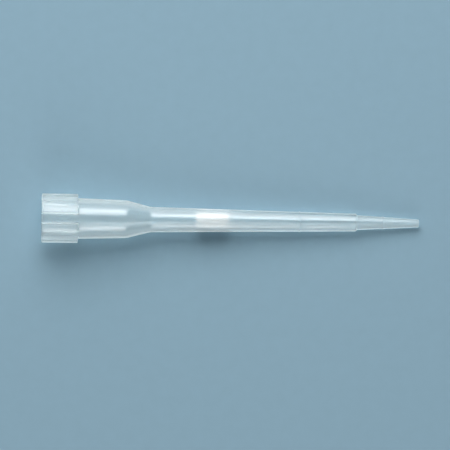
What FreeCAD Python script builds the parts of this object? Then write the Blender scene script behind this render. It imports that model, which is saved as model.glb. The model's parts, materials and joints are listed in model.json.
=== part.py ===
"""Extended-length filter pipette tip, lying at rest on a bench.

Two pieces: the moulded polypropylene tip, with its eight collar ribs, and the sintered
polyethylene plug pressed down its bore as the filter.

Both are drawn along their common axis: X runs from the mouth to the point, and a radius is
measured from X. Each is then laid down: the two lowest ribs and the slim body's lower edge
touch the bench, Z = 0, with the mouth towards -X and the point towards +X. The origin is
under the middle of the whole tip.
"""
import FreeCAD
import Part
import Sketcher

import os
import re

# Driving sizes in millimetres: name, value, meaning. "Depth" is counted from the mouth.
SIZES = [
    ("tip_length", 46.0, "mouth to point"),
    ("rib_count", 8, "ribs round the collar, an even number"),
    ("rib_length", 4.36, "length of each collar rib"),
    ("rib_width", 1.01, "width of each rib at its crest"),
    ("rib_height", 0.47, "crest of a rib above the barrel's rim"),
    ("rib_root", 0.35, "how far a rib's foot reaches into the wall"),
    ("rib_chamfer", 0.12, "bevel at both ends of a rib's crest"),
    ("rim_chamfer", 0.12, "bevel on the rim's outer edge, between the ribs"),
    ("barrel_length", 10.3, "depth at which the barrel ends and the shoulder starts"),
    ("shoulder_length", 2.9, "length of the conical shoulder"),
    ("point_length", 7.7, "length of the fine point beyond the outside step"),
    ("step_run", 0.12, "length of the bevel on the outside step"),
    ("socket_radius", 1.97, "bore where the pipette's cone seals"),
    ("socket_land", 3.0, "length of the cylindrical sealing land"),
    ("lead_in_length", 0.35, "length of the lead-in cone at the rim"),
    ("lead_in_height", 0.15, "how far the lead-in cone opens the bore"),
    ("socket_end_radius", 1.82, "bore at the end of the barrel"),
    ("throat_radius", 1.05, "bore at the foot of the shoulder"),
    ("seat_depth", 22.8, "depth of the ledge that stops the filter"),
    ("seat_radius", 0.9, "bore at that ledge"),
    ("seat_ledge", 0.12, "width of that ledge"),
    ("channel_radius", 0.5, "bore at the outside step"),
    ("orifice_radius", 0.24, "bore at the point"),
    ("rim_wall", 0.63, "wall at the rim"),
    ("barrel_wall", 0.48, "wall at the end of the barrel"),
    ("neck_wall", 0.495, "wall at the foot of the shoulder"),
    ("step_wall", 0.575, "wall just before the outside step"),
    ("point_wall", 0.4, "wall just after the outside step"),
    ("orifice_wall", 0.23, "wall at the point"),
    ("shoulder_round", 3.0, "fillet at both ends of the shoulder, outside and in"),
    ("point_round", 0.08, "fillet on the point's outer edge"),
    ("full_mark_height", 14.6, "ten microlitre ring, above the point"),
    ("low_mark_height", 4.4, "lower ring, above the point"),
    ("mark_width", 0.3, "width of a graduation ring"),
    ("mark_height", 0.03, "height of a graduation ring"),
    ("mark_root", 0.1, "how far a ring's foot reaches into the wall"),
    ("filter_length", 4.0, "length of the filter plug"),
    ("filter_clearance", 0.01, "mean gap between the plug's grains and the bore"),
    ("filter_chamfer", 0.06, "bevel at the plug's two ends"),
]

# Stations along the axis, and radii, worked out from the sizes.
SHOULDER_END = "(barrel_length + shoulder_length)"
STEP = "(tip_length - point_length)"
RIM_RADIUS = "(socket_radius + rim_wall)"
CREST_RADIUS = f"({RIM_RADIUS} + rib_height)"
BARREL_END_RADIUS = "(socket_end_radius + barrel_wall)"
NECK_RADIUS = "(throat_radius + neck_wall)"
STEP_RADIUS = "(channel_radius + step_wall)"
POINT_RADIUS = "(channel_radius + point_wall)"
END_RADIUS = "(orifice_radius + orifice_wall)"

# A rib spans this angle, and the two lowest ribs stand either side of the lowest line.
RIB_ANGLE = f"(2 * asin(rib_width / 2 / {CREST_RADIUS}))"
RIB_TURN = "(180deg / rib_count)"
LOW_CORNER = f"cos({RIB_TURN} - {RIB_ANGLE} / 2)"

# At rest the tip leans on the far end of its two lowest crests, and on the first of the
# step's edge and the point to meet the bench, which is the one with the smaller slope.
REST_DEPTH = "(rib_length - rib_chamfer)"
REST_DROP = f"({CREST_RADIUS} * {LOW_CORNER})"
SLOPE_TO_STEP = f"(({REST_DROP} - {STEP_RADIUS}) / ({STEP} - {REST_DEPTH}))"
SLOPE_TO_POINT = f"(({REST_DROP} - {END_RADIUS}) / (tip_length - point_round - {REST_DEPTH}))"
TILT = f"atan(min({SLOPE_TO_STEP}; {SLOPE_TO_POINT}))"
MOUTH_DROP = f"(({CREST_RADIUS} - rib_chamfer) * {LOW_CORNER})"
LIFT = f"({REST_DEPTH} * sin({TILT}) + {REST_DROP} * cos({TILT}))"
END_RISE = f"({END_RADIUS} - point_round)"
MIDDLE = f"((tip_length * cos({TILT}) + ({END_RISE} - {MOUTH_DROP}) * sin({TILT})) / 2)"


def on_sheet(formula):
    """The formula with every size's name pointing at its cell."""
    return re.sub(r"\b([a-z_]+)\b(?!\()", r"Sizes.\1", formula)


def between(low, high, start, end, depth):
    """The radius at a depth on a straight taper from (start, low) to (end, high)."""
    return f"({low} + ({high} - {low}) * ({depth} - {start}) / ({end} - {start}))"


def make_sheet(doc):
    sheet = doc.addObject("Spreadsheet::Sheet", "Sizes")
    for row, (name, value, meaning) in enumerate(SIZES, start=1):
        sheet.set(f"A{row}", name)
        sheet.set(f"B{row}", str(value))
        sheet.setAlias(f"B{row}", name)
        sheet.set(f"C{row}", meaning)
    doc.recompute()
    return sheet


def make_body(doc, name):
    """A body whose own X is the tip's axis, laid down on the bench."""
    body = doc.addObject("PartDesign::Body", name)
    body.Label = name
    body.Placement = FreeCAD.Placement(FreeCAD.Vector(), FreeCAD.Rotation(FreeCAD.Vector(0, 1, 0), 1))
    body.setExpression("Placement.Rotation.Angle", on_sheet(TILT))
    body.setExpression("Placement.Base.x", on_sheet(f"-{MIDDLE}"))
    body.setExpression("Placement.Base.z", on_sheet(LIFT))
    return body


def axial_plane(body):
    """The body's plane of X and Z, in which every outline is drawn."""
    return next(feature for feature in body.Origin.OriginFeatures if feature.Role == "XZ_Plane")


def draw_outline(body, name, corners, turn=None):
    """A closed outline of straight edges through corners, each a pair of formulas (depth, radius).

    A radius of None lies on the axis. turn rolls the drawing plane about the axis.
    """
    sketch = body.newObject("Sketcher::SketchObject", name)
    sketch.AttachmentSupport = (axial_plane(body), [""])
    sketch.MapMode = "FlatFace"
    if turn:
        sketch.AttachmentOffset = FreeCAD.Placement(FreeCAD.Vector(), FreeCAD.Rotation(FreeCAD.Vector(1, 0, 0), 1))
        sketch.setExpression("AttachmentOffset.Rotation.Angle", on_sheet(turn))

    def value(formula):
        return float(sketch.evalExpression(on_sheet(formula))) if formula else 0.0

    points = [FreeCAD.Vector(value(depth), value(radius), 0) for depth, radius in corners]
    for start, end in zip(points, points[1:] + points[:1]):
        sketch.addGeometry(Part.LineSegment(start, end))
    for edge in range(len(points)):
        following = (edge + 1) % len(points)
        sketch.addConstraint(Sketcher.Constraint("Coincident", edge, 2, following, 1))
    for edge, (depth, radius) in enumerate(corners):
        bind(sketch, "DistanceX", edge, f"depth_{edge}", depth, points[edge].x)
        if radius is None:
            sketch.addConstraint(Sketcher.Constraint("PointOnObject", edge, 1, -1))
        else:
            bind(sketch, "DistanceY", edge, f"radius_{edge}", radius, points[edge].y)
    return sketch


def bind(sketch, kind, edge, name, formula, value):
    """Hold an edge's start at a formula's distance from the sketch's origin."""
    number = sketch.addConstraint(Sketcher.Constraint(kind, -1, 1, edge, 1, value))
    sketch.renameConstraint(number, name)
    sketch.setExpression(f"Constraints.{name}", on_sheet(formula))


def turn_profile(body, kind, name, sketch, angle="360"):
    """Turn an outline about the axis: kind is Revolution to add material, Groove to cut it."""
    feature = body.newObject(f"PartDesign::{kind}", name)
    feature.Profile = sketch
    feature.ReferenceAxis = (sketch, ["H_Axis"])
    feature.setExpression("Angle", on_sheet(angle))
    feature.Midplane = angle != "360"
    sketch.Visibility = False
    return feature


def round_circles(doc, body, name, size, places):
    """Fillet the circular edges at each (depth, radius) formula pair."""
    doc.recompute()
    base = body.Tip
    names = []
    for depth, radius in places:
        along = float(base.evalExpression(on_sheet(depth)))
        across = float(base.evalExpression(on_sheet(radius)))
        for number, edge in enumerate(base.Shape.Edges, start=1):
            curve = edge.Curve
            if isinstance(curve, Part.Circle) and abs(curve.Radius - across) < 1e-4:
                if abs(curve.Center.x - along) < 1e-4:
                    names.append(f"Edge{number}")
    if len(names) != len(places):
        raise RuntimeError(f"{name} found {len(names)} edges for {len(places)} places")
    fillet = body.newObject("PartDesign::Fillet", name)
    fillet.Base = (base, names)
    fillet.setExpression("Radius", on_sheet(size))
    return fillet


def make_tip_body(doc):
    body = make_body(doc, "tip_body")

    outside = draw_outline(
        body,
        "outside_outline",
        [
            ("0", None),
            ("0", f"{RIM_RADIUS} - rim_chamfer"),
            ("rim_chamfer", RIM_RADIUS),
            ("barrel_length", BARREL_END_RADIUS),
            (SHOULDER_END, NECK_RADIUS),
            (STEP, STEP_RADIUS),
            (f"{STEP} + step_run", POINT_RADIUS),
            ("tip_length", END_RADIUS),
            ("tip_length", None),
        ],
    )
    turn_profile(body, "Revolution", "outside", outside)

    foot = f"({RIM_RADIUS} - rib_root)"
    rib_outline = draw_outline(
        body,
        "rib_outline",
        [
            ("0", foot),
            ("0", f"{CREST_RADIUS} - rib_chamfer"),
            ("rib_chamfer", CREST_RADIUS),
            ("rib_length - rib_chamfer", CREST_RADIUS),
            ("rib_length", f"{CREST_RADIUS} - rib_chamfer"),
            ("rib_length", foot),
        ],
        turn=RIB_TURN,
    )
    rib = turn_profile(body, "Revolution", "rib", rib_outline, RIB_ANGLE)
    ribs = body.newObject("PartDesign::PolarPattern", "ribs")
    ribs.Originals = [rib]
    ribs.Axis = (outside, ["H_Axis"])
    ribs.Angle = 360
    ribs.setExpression("Occurrences", on_sheet("rib_count"))
    body.Tip = ribs

    full_taper = between(NECK_RADIUS, STEP_RADIUS, SHOULDER_END, STEP, "(tip_length - full_mark_height)")
    low_taper = between(POINT_RADIUS, END_RADIUS, STEP, "tip_length", "(tip_length - low_mark_height)")
    for name, above_point, surface in (
        ("full_mark", "full_mark_height", full_taper),
        ("low_mark", "low_mark_height", low_taper),
    ):
        middle = f"(tip_length - {above_point})"
        ring = draw_outline(
            body,
            f"{name}_outline",
            [
                (f"{middle} - mark_width / 2", f"{surface} - mark_root"),
                (f"{middle} - mark_width / 4", f"{surface} + mark_height"),
                (f"{middle} + mark_width / 4", f"{surface} + mark_height"),
                (f"{middle} + mark_width / 2", f"{surface} - mark_root"),
            ],
        )
        turn_profile(body, "Revolution", name, ring)

    bore = draw_outline(
        body,
        "bore_outline",
        [
            ("0", None),
            ("0", "socket_radius + lead_in_height"),
            ("lead_in_length", "socket_radius"),
            ("lead_in_length + socket_land", "socket_radius"),
            ("barrel_length", "socket_end_radius"),
            (SHOULDER_END, "throat_radius"),
            ("seat_depth", "seat_radius"),
            ("seat_depth", "seat_radius - seat_ledge"),
            (STEP, "channel_radius"),
            ("tip_length", "orifice_radius"),
            ("tip_length", None),
        ],
    )
    turn_profile(body, "Groove", "bore", bore)

    round_circles(
        doc,
        body,
        "shoulder_rounds",
        "shoulder_round",
        [
            ("barrel_length", BARREL_END_RADIUS),
            (SHOULDER_END, NECK_RADIUS),
            ("barrel_length", "socket_end_radius"),
            (SHOULDER_END, "throat_radius"),
        ],
    )
    round_circles(doc, body, "point_rounds", "point_round", [("tip_length", END_RADIUS)])
    return body


def make_filter_plug(doc):
    """The plug follows the bore's own taper down to the ledge that stops it."""
    body = make_body(doc, "filter_plug")
    top = "(seat_depth - filter_length)"
    bore_at_top = between("throat_radius", "seat_radius", SHOULDER_END, "seat_depth", top)
    bore_by_top = between(
        "throat_radius", "seat_radius", SHOULDER_END, "seat_depth", f"({top} + filter_chamfer)"
    )
    bore_by_seat = between(
        "throat_radius", "seat_radius", SHOULDER_END, "seat_depth", "(seat_depth - filter_chamfer)"
    )
    side = draw_outline(
        body,
        "plug_outline",
        [
            (top, None),
            (top, f"{bore_at_top} - filter_clearance - filter_chamfer"),
            (f"{top} + filter_chamfer", f"{bore_by_top} - filter_clearance"),
            ("seat_depth - filter_chamfer", f"{bore_by_seat} - filter_clearance"),
            ("seat_depth", "seat_radius - filter_clearance - filter_chamfer"),
            ("seat_depth", None),
        ],
    )
    turn_profile(body, "Revolution", "plug", side)
    return body


def check(doc, bodies):
    """Stop before anything is written if a feature failed or a piece has no sound solid."""
    failed = [item.Label for item in doc.Objects if {"Invalid", "Error"} & set(item.State)]
    if failed:
        raise RuntimeError(f"these objects failed: {failed}")
    for body in bodies:
        if body.Shape.isNull() or not body.Shape.isValid() or len(body.Shape.Solids) != 1:
            raise RuntimeError(f"{body.Label} isn't one valid solid")


def main():
    doc = FreeCAD.newDocument("pipette_tip")
    make_sheet(doc)
    bodies = [make_tip_body(doc), make_filter_plug(doc)]
    doc.recompute()
    check(doc, bodies)
    os.makedirs("parts", exist_ok=True)
    for body in bodies:
        body.Shape.exportStep(f"parts/{body.Label}.step")
        box = body.Shape.optimalBoundingBox(False)
        print(body.Label, f"{body.Shape.Volume:.3f} mm3", box)


main()
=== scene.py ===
"""The looks of the filter pipette tip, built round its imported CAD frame.

The frame's two solids, the moulded tip and the porous plug in its bore, are each replaced by a
finer mesh turned about the tip's own axis, which the frame's socket mount gives. A depth is
counted from the mouth along that axis and a radius from it, both in millimetres.
"""

import json
import math

import bpy
import numpy as np
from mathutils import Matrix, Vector, noise

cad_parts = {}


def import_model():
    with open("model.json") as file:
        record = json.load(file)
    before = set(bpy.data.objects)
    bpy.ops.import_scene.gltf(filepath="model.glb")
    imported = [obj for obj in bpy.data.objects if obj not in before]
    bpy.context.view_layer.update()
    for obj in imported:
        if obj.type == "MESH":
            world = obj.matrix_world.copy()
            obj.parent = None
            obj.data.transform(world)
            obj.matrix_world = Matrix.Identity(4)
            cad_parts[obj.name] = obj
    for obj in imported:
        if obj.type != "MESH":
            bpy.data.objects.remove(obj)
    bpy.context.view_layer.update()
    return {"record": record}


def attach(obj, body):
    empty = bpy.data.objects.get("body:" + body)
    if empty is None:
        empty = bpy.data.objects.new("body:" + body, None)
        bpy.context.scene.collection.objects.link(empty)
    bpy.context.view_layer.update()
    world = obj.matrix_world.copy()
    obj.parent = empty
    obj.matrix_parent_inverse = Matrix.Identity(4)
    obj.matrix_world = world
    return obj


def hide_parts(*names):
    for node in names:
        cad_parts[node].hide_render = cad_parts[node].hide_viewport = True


MM = 0.001

# The moulded tip, as in the CAD model, in millimetres. A mark's height is counted from the point.
TIP_LENGTH = 46.0
RIB_COUNT = 8
RIB_LENGTH = 4.36
RIB_WIDTH = 1.01
RIB_HEIGHT = 0.47
BARREL_LENGTH = 10.3
SHOULDER_LENGTH = 2.9
POINT_LENGTH = 7.7
STEP_RUN = 0.12
SOCKET_RADIUS = 1.97
SOCKET_LAND = 3.0
LEAD_IN_LENGTH = 0.35
LEAD_IN_HEIGHT = 0.15
LEAD_IN_ROUND = 0.5
SOCKET_END_RADIUS = 1.82
THROAT_RADIUS = 1.05
SEAT_DEPTH = 22.8
SEAT_RADIUS = 0.9
SEAT_LEDGE = 0.12
CHANNEL_RADIUS = 0.5
ORIFICE_RADIUS = 0.24
RIM_WALL = 0.63
BARREL_WALL = 0.48
NECK_WALL = 0.495
STEP_WALL = 0.575
POINT_WALL = 0.4
ORIFICE_WALL = 0.23
SHOULDER_ROUND = 3.0
POINT_ROUND = 0.08
FULL_MARK_HEIGHT = 14.6
LOW_MARK_HEIGHT = 4.4
MARK_WIDTH = 0.3
MARK_HEIGHT = 0.03

# Stations along the axis, and outside radii, that follow from those.
SHOULDER_END = BARREL_LENGTH + SHOULDER_LENGTH
STEP = TIP_LENGTH - POINT_LENGTH
RIM_RADIUS = SOCKET_RADIUS + RIM_WALL
CREST_RADIUS = RIM_RADIUS + RIB_HEIGHT
BARREL_END_RADIUS = SOCKET_END_RADIUS + BARREL_WALL
NECK_RADIUS = THROAT_RADIUS + NECK_WALL
STEP_RADIUS = CHANNEL_RADIUS + STEP_WALL
POINT_RADIUS = CHANNEL_RADIUS + POINT_WALL
END_RADIUS = ORIFICE_RADIUS + ORIFICE_WALL

# The plug, whose bevelled ends are rounded here.
FILTER_LENGTH = 4.0
FILTER_CLEARANCE = 0.01
FILTER_ROUND = 0.06

# What only the looks need: the small radii that a mould leaves, and the slope of a rib's side.
MOUTH_ROUND = 0.12
CREST_ROUND = 0.06
FOOT_ROUND = 0.1
FLANK_DRAFT = 0.03
EDGE_ROUND = 0.03
STEP_EDGE_ROUND = 0.2
MARK_EDGE_ROUND = 0.2

# How finely the tip is meshed: steps in a round, the longest run between two rows, rows on the
# mouth's face and along the collar, and points across a rib's crest and the valley beside it,
# each with its two ends.
ROUND_STEPS = 4
LONGEST_RUN = 0.6
MOUTH_ROWS = 6
COLLAR_ROWS = 10
CREST_POINTS = 7
VALLEY_POINTS = 8

# The plug's grains: their size and how deep the gaps between them are. Its mesh: steps around,
# the longest run between two rows, and the hole left at an end face's middle, which one face fills.
GRAIN = 0.13
GRAIN_DEPTH = 0.024
PLUG_STEPS_AROUND = 168
PLUG_RUN = 0.045
PLUG_HUB_RADIUS = 0.04
# Seen from the plug's middle, a point that lies nearer than this slope to the axis is on an end.
PLUG_END_SLOPE = 0.2

# The plastic: its tints and its polish, which a cloudy pattern varies from the first value to the
# second, and the fine lines drawn along the outside. A pattern's scale is its features to a metre,
# and a depth is in millimetres.
PLASTIC_IOR = 1.49
PLASTIC_TINTS = ((0.96, 0.99, 0.99), (0.98, 1.0, 1.0))
CLOUD_SCALE = 900.0
OUTSIDE_ROUGHNESS = (0.03, 0.10)
BORE_ROUGHNESS = (0.03, 0.08)
DRAW_LINE_SCALE = 3000.0
DRAW_LINE_STRETCH = 150.0
DRAW_LINE_DEPTH = 0.0004

# The outside's haze: how much of it is haze face on and edge on, how slanting the wall is where
# the one gives way to the other, from 0 face on to 1 edge on, and how much of that haze sends
# light on rather than back.
HAZE_SHARE = 0.40
EDGE_HAZE_SHARE = 0.95
EDGE_HAZE_START = 0.45
EDGE_HAZE_FULL = 0.68
HAZE_FORWARD = 0.92
HAZE_COLOUR = (0.95, 1.0, 1.0, 1)

# The gloss over the haze: the share of light that it mirrors, and how rough it is.
GLOSS_SHARE = 0.045
GLOSS_ROUGHNESS = 0.08

# The share of a lamp's light that passes each side of the wall.
OUTSIDE_PASSES = 0.29
BORE_PASSES = 0.90

# The plug: its tints and roughness, from a grain's middle to its edge, the pores between grains,
# how far light goes inside it, in millimetres, and how nearly straight on.
PLUG_TINTS = ((0.99, 0.92, 0.93), (0.97, 0.89, 0.90))
PLUG_ROUGHNESS = (0.7, 0.95)
PORE_SCALE = 20000.0
PORE_DEPTH = 0.01
PLUG_GLOW = 6.0
PLUG_FORWARD = 0.6

# The view, from straight above: its width, its turn about the vertical, how far the tip lies to
# the right of its middle and above it, and the camera's height and its sensor's width.
VIEW_WIDTH = 55.0
VIEW_ROLL = 0.84
VIEW_OFFSET = (0.617, 0.52)
CAMERA_HEIGHT = 600.0
SENSOR = 36.0

# The camera's nearest and farthest reach, in metres.
CLIP = (0.01, 20)

# The studio, in metres. The key light is three softboxes, one inside the next, so it fades towards
# its edge, and a low strip fills from the other side. Each has a name, the azimuth that it comes
# from, counted from +Y towards -X, an elevation, a width, a height and its watts.
LAMPS = (
    ("key_core", 8, 48, 0.32, 0.32, 1.30),
    ("key_middle", 8, 42, 0.40, 0.40, 0.46),
    ("key_halo", 8, 35, 0.478, 0.478, 0.94),
    ("fill_strip", 180, 28, 0.16, 0.20, 0.52),
)
LAMP_DISTANCE = 0.45
WORLD_COLOUR = (0.90, 1.0, 0.95, 1)
WORLD_STRENGTH = 0.08
FLOOR_REACH = 3.0

# The floor's card: its colour, and the faint mottle over it, in shares of that colour.
FLOOR_COLOUR = (0.254, 0.402, 0.502)
MOTTLE_SHARES = (0.96, 1.04)
MOTTLE_SCALE = 700.0
MOTTLE_DEPTH = 0.01
CARD_ROUGHNESS = (0.85, 0.95)

# How many times light may pass or leave a wall: a line of sight crosses many clear walls in a row.
BOUNCES = 24


# ---------------------------------------------------------------- outlines


def rounded(corners, longest=LONGEST_RUN):
    """Points along straight runs through (depth, radius, round) corners, with arcs at them."""
    places = [np.array(corner[:2], float) for corner in corners]
    points = []

    def add(point):
        """Adds a point, and those that the run to it needs."""
        if points:
            run = point - points[-1]
            pieces = max(1, math.ceil(np.linalg.norm(run) / longest))
            start = points[-1]
            points.extend(start + run * step / pieces for step in range(1, pieces))
        points.append(point)

    for number, (place, corner) in enumerate(zip(places, corners)):
        size = corner[2] if len(corner) > 2 else 0
        if not size or number in (0, len(corners) - 1):
            add(place)
            continue
        back = places[number - 1] - place
        ahead = places[number + 1] - place
        back /= np.linalg.norm(back)
        ahead /= np.linalg.norm(ahead)
        half = math.acos(np.clip(back @ ahead, -1, 1)) / 2
        middle = (back + ahead) / np.linalg.norm(back + ahead)
        centre = place + middle * size / math.sin(half)
        start = place + back * size / math.tan(half) - centre
        end = place + ahead * size / math.tan(half) - centre
        turn = math.atan2(start[0] * end[1] - start[1] * end[0], start @ end)
        count = max(ROUND_STEPS, math.ceil(abs(turn) * size / longest))
        for step in range(count + 1):
            angle = turn * step / count
            cos = math.cos(angle)
            sin = math.sin(angle)
            arm = np.array([start[0] * cos - start[1] * sin, start[0] * sin + start[1] * cos])
            if step:
                points.append(centre + arm)
            else:
                add(centre + arm)
    return points


def fall(height):
    """(distance, share of height) pairs down a rib's side, rounded at its crest and its foot."""
    angles = [math.pi / 2 * step / ROUND_STEPS for step in range(ROUND_STEPS + 1)]
    pairs = []
    for angle in angles:
        distance = CREST_ROUND * (math.sin(angle) - 1)
        pairs.append((distance, height - CREST_ROUND * (1 - math.cos(angle))))
    for angle in angles:
        distance = FLANK_DRAFT + FOOT_ROUND * (1 - math.cos(angle))
        pairs.append((distance, FOOT_ROUND * (1 - math.sin(angle))))
    return [(distance, tall / height) for distance, tall in pairs]


def barrel_radius(depth):
    """The barrel's outside at a depth, before its ribs."""
    share = (depth - MOUTH_ROUND) / (BARREL_LENGTH - MOUTH_ROUND)
    return RIM_RADIUS + (BARREL_END_RADIUS - RIM_RADIUS) * share


def slim_radius(depth):
    """The slim body's outside at a depth, from the shoulder to the step."""
    share = (depth - SHOULDER_END) / (STEP - SHOULDER_END)
    return NECK_RADIUS + (STEP_RADIUS - NECK_RADIUS) * share


def fine_radius(depth):
    """The point's outside at a depth, past the step."""
    start = STEP + STEP_RUN
    return POINT_RADIUS + (END_RADIUS - POINT_RADIUS) * (depth - start) / (TIP_LENGTH - start)


def mark(height, surface):
    """A graduation ring's corners on the outside: a low ridge with a flat top."""
    middle = TIP_LENGTH - height
    ridge = ((-1 / 2, 0), (-1 / 4, MARK_HEIGHT), (1 / 4, MARK_HEIGHT), (1 / 2, 0))
    corners = []
    for share, lift in ridge:
        depth = middle + MARK_WIDTH * share
        corners.append((depth, surface(depth) + lift, MARK_EDGE_ROUND))
    return corners


def collar_rows():
    """Rows over the mouth's face and the ribbed collar: (depth, radius, lift on a rib)."""
    inner = SOCKET_RADIUS + LEAD_IN_HEIGHT + EDGE_ROUND
    rows = []
    for share in np.linspace(0, 1, MOUTH_ROWS):
        radius = inner + share * (RIM_RADIUS - MOUTH_ROUND - inner)
        rows.append((0.0, radius, share * RIB_HEIGHT))
    for step in range(1, ROUND_STEPS + 1):
        angle = math.pi / 2 * step / ROUND_STEPS
        depth = MOUTH_ROUND * (1 - math.cos(angle))
        rows.append((depth, RIM_RADIUS - MOUTH_ROUND * (1 - math.sin(angle)), RIB_HEIGHT))
    end = fall(CREST_RADIUS - barrel_radius(RIB_LENGTH))
    along = np.linspace(MOUTH_ROUND, RIB_LENGTH + end[0][0], COLLAR_ROWS)[1:-1]
    stations = [(depth, 1.0) for depth in along]
    stations += [(RIB_LENGTH + distance, share) for distance, share in end]
    for depth, share in stations:
        radius = barrel_radius(depth)
        rows.append((depth, radius, share * (CREST_RADIUS - radius)))
    return rows


def outside_rows(start):
    """Rows from the collar's end, at a depth of start, over the outside and round the point."""
    corners = [
        (start, barrel_radius(start)),
        (BARREL_LENGTH, BARREL_END_RADIUS, SHOULDER_ROUND),
        (SHOULDER_END, NECK_RADIUS, SHOULDER_ROUND),
        *mark(FULL_MARK_HEIGHT, slim_radius),
        (STEP, STEP_RADIUS, STEP_EDGE_ROUND),
        (STEP + STEP_RUN, POINT_RADIUS, STEP_EDGE_ROUND),
        *mark(LOW_MARK_HEIGHT, fine_radius),
        (TIP_LENGTH, END_RADIUS, POINT_ROUND),
        (TIP_LENGTH, ORIFICE_RADIUS, EDGE_ROUND),
        (STEP, CHANNEL_RADIUS),
    ]
    return [(depth, radius, 0.0) for depth, radius in rounded(corners)[1:]]


def bore_rows():
    """Rows back up the bore, from the step's depth to the mouth."""
    corners = [
        (STEP, CHANNEL_RADIUS),
        (SEAT_DEPTH, SEAT_RADIUS - SEAT_LEDGE, EDGE_ROUND),
        (SEAT_DEPTH, SEAT_RADIUS, EDGE_ROUND),
        (SHOULDER_END, THROAT_RADIUS, SHOULDER_ROUND),
        (BARREL_LENGTH, SOCKET_END_RADIUS, SHOULDER_ROUND),
        (LEAD_IN_LENGTH + SOCKET_LAND, SOCKET_RADIUS, SHOULDER_ROUND),
        (LEAD_IN_LENGTH, SOCKET_RADIUS, LEAD_IN_ROUND),
        (0.0, SOCKET_RADIUS + LEAD_IN_HEIGHT, EDGE_ROUND),
        (0.0, SOCKET_RADIUS + LEAD_IN_HEIGHT + EDGE_ROUND),
    ]
    return [(depth, radius, 0.0) for depth, radius in rounded(corners)[1:-1]]


def rib_section():
    """(angle, share of a rib's height) pairs once round the collar, finest at the ribs' sides."""
    pitch = 2 * math.pi / RIB_COUNT
    half = math.asin(RIB_WIDTH / 2 / CREST_RADIUS)
    side = [(half + distance / CREST_RADIUS, share) for distance, share in fall(RIB_HEIGHT)]
    crest = side[0][0]
    foot = side[-1][0]
    rib = [(-angle, share) for angle, share in reversed(side)]
    rib += [(angle, 1.0) for angle in np.linspace(-crest, crest, CREST_POINTS)[1:-1]]
    rib += side
    rib += [(angle, 0.0) for angle in np.linspace(foot, pitch - foot, VALLEY_POINTS)[1:-1]]
    middles = [pitch * (number + 0.5) for number in range(RIB_COUNT)]
    return [(middle + angle, share) for middle in middles for angle, share in rib]


# ---------------------------------------------------------------- meshes


class TipAxis:
    """Where the tip's own axis lies in the frame, from the socket mount at its land's middle."""

    def __init__(self, record):
        """Reads the mount's place and direction; its axis points out of the mouth."""
        socket = next(mount for mount in record["mounts"] if mount["name"] == "socket")
        self.along = -Vector(socket["axis"]).normalized()
        middle = (LEAD_IN_LENGTH + SOCKET_LAND / 2) * MM
        self.mouth = Vector(socket["pos_m"]) - self.along * middle
        self.side = Vector((0, 1, 0))
        self.up = self.along.cross(self.side).normalized()

    def place(self, depths, radii, angles):
        """Points in metres for arrays in millimetres and radians, measured from straight up."""
        depths, radii, angles = np.broadcast_arrays(depths, radii, angles)
        across = radii * np.sin(angles)
        above = radii * np.cos(angles)
        shift = sum(
            np.multiply.outer(lengths, np.array(direction))
            for lengths, direction in ((depths, self.along), (above, self.up), (across, self.side))
        )
        return shift * MM + np.array(self.mouth)


def make_piece(name, points, faces):
    """A smoothly shaded mesh object in the scene."""
    mesh = bpy.data.meshes.new(name)
    mesh.from_pydata([tuple(point) for point in points], [], faces)
    mesh.validate()
    mesh.shade_smooth()
    piece = bpy.data.objects.new(name, mesh)
    bpy.context.scene.collection.objects.link(piece)
    return piece


def ring_faces(rows, around, closed):
    """Quads between rows of points; closed joins the last row to the first."""
    faces = []
    for row in range(rows if closed else rows - 1):
        here = row * around
        there = (row + 1) % rows * around
        for step in range(around):
            following = (step + 1) % around
            faces.append((here + step, there + step, there + following, here + following))
    return faces


def make_tip(axis):
    """The moulding: one closed wall, from the mouth over the outside and back up the bore."""
    rows = collar_rows()
    rows += outside_rows(rows[-1][0])
    rows += bore_rows()
    section = rib_section()
    depths, radii, lifts = (np.array(column)[:, None] for column in zip(*rows))
    angles, shares = (np.array(column)[None, :] for column in zip(*section))
    points = axis.place(depths, radii + lifts * shares, angles).reshape(-1, 3)
    tip = make_piece("polypropylene_tip", points, ring_faces(len(rows), len(section), True))
    tip.data.materials.append(outer_plastic())
    tip.data.materials.append(bore_plastic())
    # The bore's material starts at the orifice, which is the last of the deepest rows.
    orifice = max(range(len(rows)), key=lambda row: (rows[row][0], row))
    for face in tip.data.polygons:
        face.material_index = int(face.index >= orifice * len(section))
    return tip


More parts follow.
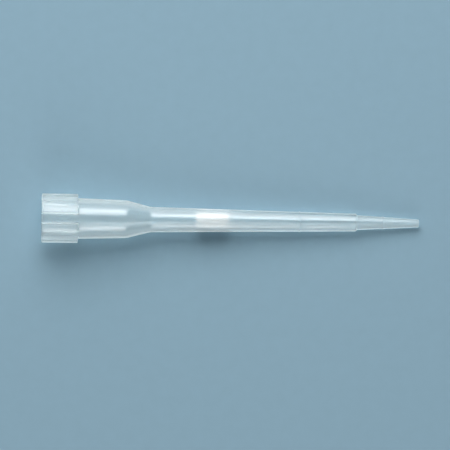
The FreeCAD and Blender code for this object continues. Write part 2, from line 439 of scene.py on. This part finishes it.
def make_plug(axis):
    """The sintered plug: a cone frustum whose surface is the tops of packed grains."""
    slope = (SEAT_RADIUS - THROAT_RADIUS) / (SEAT_DEPTH - SHOULDER_END)
    top = SEAT_DEPTH - FILTER_LENGTH
    low = SEAT_RADIUS - FILTER_CLEARANCE
    high = low - slope * FILTER_LENGTH
    rows = rounded(
        [
            (top, PLUG_HUB_RADIUS),
            (top, high, FILTER_ROUND),
            (SEAT_DEPTH, low, FILTER_ROUND),
            (SEAT_DEPTH, PLUG_HUB_RADIUS),
        ],
        longest=PLUG_RUN,
    )
    angles = np.arange(PLUG_STEPS_AROUND) * 2 * math.pi / PLUG_STEPS_AROUND
    depths, radii = (np.array(column)[:, None] for column in zip(*rows))
    smooth = axis.place(depths, radii, angles[None, :])
    centre = axis.place(np.array([top + FILTER_LENGTH / 2]), np.array([0.0]), np.array([0.0]))[0]
    points = []
    for point in smooth.reshape(-1, 3):
        near = noise.voronoi(Vector(point) / (GRAIN * MM))[0][0]
        inward = Vector(centre - point)
        along = inward.dot(axis.along)
        radial = inward - axis.along * along
        if radial.length > abs(along) * PLUG_END_SLOPE:
            pull = radial.normalized()
        else:
            pull = axis.along * math.copysign(1, along)
        points.append(Vector(point) + pull * min(near * near, 1.0) * GRAIN_DEPTH * MM)
    faces = ring_faces(len(rows), PLUG_STEPS_AROUND, False)
    faces.append(tuple(range(PLUG_STEPS_AROUND)))
    last = (len(rows) - 1) * PLUG_STEPS_AROUND
    faces.append(tuple(last + step for step in reversed(range(PLUG_STEPS_AROUND))))
    return make_piece("porous_plug", points, faces)


# ---------------------------------------------------------------- materials


class Nodes:
    """A new material and short ways to add and join its nodes."""

    def __init__(self, name):
        """Starts with the plain shader and the piece's own coordinates."""
        self.material = bpy.data.materials.new(name)
        self.material.use_nodes = True
        self.tree = self.material.node_tree
        self.shader = self.tree.nodes["Principled BSDF"]
        self.output = self.tree.nodes["Material Output"]
        self.surface = self.shader
        self.place = self.add("TexCoord").outputs["Object"]

    def add(self, kind, **settings):
        """A node; a setting is one of its own options or, with spaces for _, one of its inputs."""
        node = self.tree.nodes.new(f"ShaderNode{kind}")
        for name, value in settings.items():
            if hasattr(node, name):
                setattr(node, name, value)
            else:
                node.inputs[name.replace("_", " ")].default_value = value
        return node

    def join(self, source, target):
        """Links an output to an input."""
        self.tree.links.new(source, target)

    def set(self, **values):
        """Sets the plain shader's inputs, with spaces for _."""
        for name, value in values.items():
            self.shader.inputs[name.replace("_", " ")].default_value = value

    def noise(self, scale, detail, stretch=1.0):
        """A cloudy pattern with scale features to the metre, drawn out along the tip by stretch."""
        place = self.add("Mapping")
        place.inputs["Scale"].default_value = (1 / stretch, 1, 1)
        cloud = self.add("TexNoise", Scale=scale, Detail=detail)
        self.join(self.place, place.inputs["Vector"])
        self.join(place.outputs["Vector"], cloud.inputs["Vector"])
        return cloud.outputs["Fac"]

    def between(self, source, ends, target):
        """Sets a number between two ends by a pattern that runs from 0 to 1."""
        span = self.add("MapRange", To_Min=ends[0], To_Max=ends[1])
        self.join(source, span.inputs["Value"])
        self.join(span.outputs["Result"], target)

    def blend(self, source, ends, target):
        """Sets a colour between two ends by a pattern that runs from 0 to 1."""
        ramp = self.add("ValToRGB")
        for element, colour in zip(ramp.color_ramp.elements, ends):
            element.color = (*colour, 1)
        self.join(source, ramp.inputs["Fac"])
        self.join(ramp.outputs["Color"], target)

    def relief(self, source, depth):
        """Bumps the surface by a pattern, to a depth in millimetres; gives the bumped normal."""
        bump = self.add("Bump", Distance=depth * MM)
        self.join(source, bump.inputs["Height"])
        self.join(bump.outputs["Normal"], self.shader.inputs["Normal"])
        return bump.outputs["Normal"]

    def mixed(self, first, second, share):
        """Two shaders mixed; share is the second's, as a number or as another node's output."""
        both = self.add("MixShader")
        if isinstance(share, float):
            both.inputs["Fac"].default_value = share
        else:
            self.join(share, both.inputs["Fac"])
        self.join(first.outputs[0], both.inputs[1])
        self.join(second.outputs[0], both.inputs[2])
        return both

    def mix(self, other, share):
        """Shows another shader in place of a share of the surface so far."""
        self.surface = self.mixed(self.surface, other, share)
        self.join(self.surface.outputs["Shader"], self.output.inputs["Surface"])

    def pass_light(self, share):
        """Lets a share of the lamps' light straight through, to what a clear wall covers."""
        through = self.add("BsdfTransparent", Color=(share, share, share, 1))
        self.mix(through, self.add("LightPath").outputs["Is Shadow Ray"])


def polypropylene(name, roughness):
    """Natural polypropylene, clear, with a very slightly uneven polish."""
    look = Nodes(name)
    look.set(IOR=PLASTIC_IOR, Transmission_Weight=1.0)
    cloud = look.noise(scale=CLOUD_SCALE, detail=4.0)
    look.blend(cloud, PLASTIC_TINTS, look.shader.inputs["Base Color"])
    look.between(cloud, roughness, look.shader.inputs["Roughness"])
    return look


def bore_plastic():
    """The bore's wall, as clear as its core pin's polish leaves it."""
    look = polypropylene("clear_polypropylene_bore", BORE_ROUGHNESS)
    look.pass_light(BORE_PASSES)
    return look.material


def outer_plastic():
    """The outside: hazy under its polish, palest seen edge on, with lines drawn along the tip."""
    look = polypropylene("clear_polypropylene", OUTSIDE_ROUGHNESS)
    streaks = look.noise(scale=DRAW_LINE_SCALE, detail=3.0, stretch=DRAW_LINE_STRETCH)
    lines = look.relief(streaks, DRAW_LINE_DEPTH)
    slant = look.add("LayerWeight")
    edge = look.add(
        "MapRange",
        interpolation_type="SMOOTHSTEP",
        From_Min=EDGE_HAZE_START,
        From_Max=EDGE_HAZE_FULL,
        To_Min=HAZE_SHARE,
        To_Max=EDGE_HAZE_SHARE,
    )
    look.join(slant.outputs["Facing"], edge.inputs["Value"])
    back = look.add("BsdfDiffuse", Color=HAZE_COLOUR)
    through = look.add("BsdfTranslucent", Color=HAZE_COLOUR)
    haze = look.mixed(back, through, HAZE_FORWARD)
    gloss = look.add("BsdfAnisotropic", Color=(1, 1, 1, 1), Roughness=GLOSS_ROUGHNESS)
    look.join(lines, gloss.inputs["Normal"])
    look.mix(look.mixed(haze, gloss, GLOSS_SHARE), edge.outputs["Result"])
    look.pass_light(OUTSIDE_PASSES)
    return look.material


def sintered():
    """Porous polyethylene: white grains sintered together, which let some light through."""
    look = Nodes("porous_polyethylene")
    grains = look.add("TexVoronoi", Scale=1000 / GRAIN)
    look.join(look.place, grains.inputs["Vector"])
    look.blend(grains.outputs["Distance"], PLUG_TINTS, look.shader.inputs["Base Color"])
    look.between(grains.outputs["Distance"], PLUG_ROUGHNESS, look.shader.inputs["Roughness"])
    look.relief(look.noise(scale=PORE_SCALE, detail=3.0), PORE_DEPTH)
    look.set(Subsurface_Weight=1.0, Subsurface_Radius=(1, 1, 1))
    look.set(Subsurface_Scale=PLUG_GLOW * MM, Subsurface_Anisotropy=PLUG_FORWARD)
    return look.material


def card():
    """The floor's matt card, with a faint mottle."""
    look = Nodes("pale_card")
    mottle = look.noise(scale=MOTTLE_SCALE, detail=6.0)
    tints = [tuple(part * share for part in FLOOR_COLOUR) for share in MOTTLE_SHARES]
    look.blend(mottle, tints, look.shader.inputs["Base Color"])
    look.between(mottle, CARD_ROUGHNESS, look.shader.inputs["Roughness"])
    look.relief(mottle, MOTTLE_DEPTH)
    return look.material


# ---------------------------------------------------------------- studio


def make_floor():
    """The card that the tip lies on, which reaches past every view."""
    sides = ((-1, -1), (1, -1), (1, 1), (-1, 1))
    corners = [(x * FLOOR_REACH, y * FLOOR_REACH, 0) for x, y in sides]
    floor = make_piece("floor", corners, [(0, 1, 2, 3)])
    floor.data.materials.append(card())


def make_lamp(name, azimuth, elevation, width, height, watts):
    """A softbox that faces the tip."""
    light = bpy.data.lights.new(name, "AREA")
    light.shape = "RECTANGLE"
    light.size = width
    light.size_y = height
    light.energy = watts
    lamp = bpy.data.objects.new(name, light)
    turn = math.radians(azimuth)
    rise = math.radians(elevation)
    level = math.cos(rise)
    direction = Vector((-math.sin(turn) * level, math.cos(turn) * level, math.sin(rise)))
    lamp.location = direction * LAMP_DISTANCE
    lamp.rotation_mode = "QUATERNION"
    lamp.rotation_quaternion = direction.to_track_quat("Z", "Y")
    lamp.visible_camera = False
    bpy.context.scene.collection.objects.link(lamp)


def make_world():
    """A dim, even light from all round."""
    world = bpy.data.worlds.new("studio")
    world.use_nodes = True
    background = world.node_tree.nodes["Background"]
    background.inputs["Color"].default_value = WORLD_COLOUR
    background.inputs["Strength"].default_value = WORLD_STRENGTH
    bpy.context.scene.world = world


def make_camera():
    """Straight above, rolled a little, with the tip a little up and right of the middle."""
    data = bpy.data.cameras.new("camera")
    data.sensor_width = SENSOR
    data.lens = SENSOR * CAMERA_HEIGHT / VIEW_WIDTH
    data.clip_start, data.clip_end = CLIP
    camera = bpy.data.objects.new("camera", data)
    roll = math.radians(VIEW_ROLL)
    right = Vector((math.cos(roll), math.sin(roll), 0))
    up = Vector((-math.sin(roll), math.cos(roll), 0))
    aim = -(right * VIEW_OFFSET[0] + up * VIEW_OFFSET[1])
    camera.location = (aim + Vector((0, 0, CAMERA_HEIGHT))) * MM
    camera.rotation_euler = (0, 0, roll)
    bpy.context.scene.collection.objects.link(camera)
    bpy.context.scene.camera = camera


def main():
    """Builds both pieces and the studio."""
    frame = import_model()
    axis = TipAxis(frame["record"])

    tip = make_tip(axis)
    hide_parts("tip_body")
    plug = make_plug(axis)
    plug.data.materials.append(sintered())
    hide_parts("filter_plug")
    for piece in (tip, plug):
        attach(piece, "root")

    make_floor()
    for lamp in LAMPS:
        make_lamp(*lamp)
    make_world()
    make_camera()

    scene = bpy.context.scene
    scene.view_settings.view_transform = "Standard"
    scene.cycles.max_bounces = BOUNCES
    scene.cycles.transmission_bounces = BOUNCES
    scene.cycles.transparent_max_bounces = BOUNCES
    # What clear walls throw on the floor is neither dimmed nor blurred.
    scene.cycles.sample_clamp_indirect = 0.0
    scene.cycles.blur_glossy = 0.0


main()
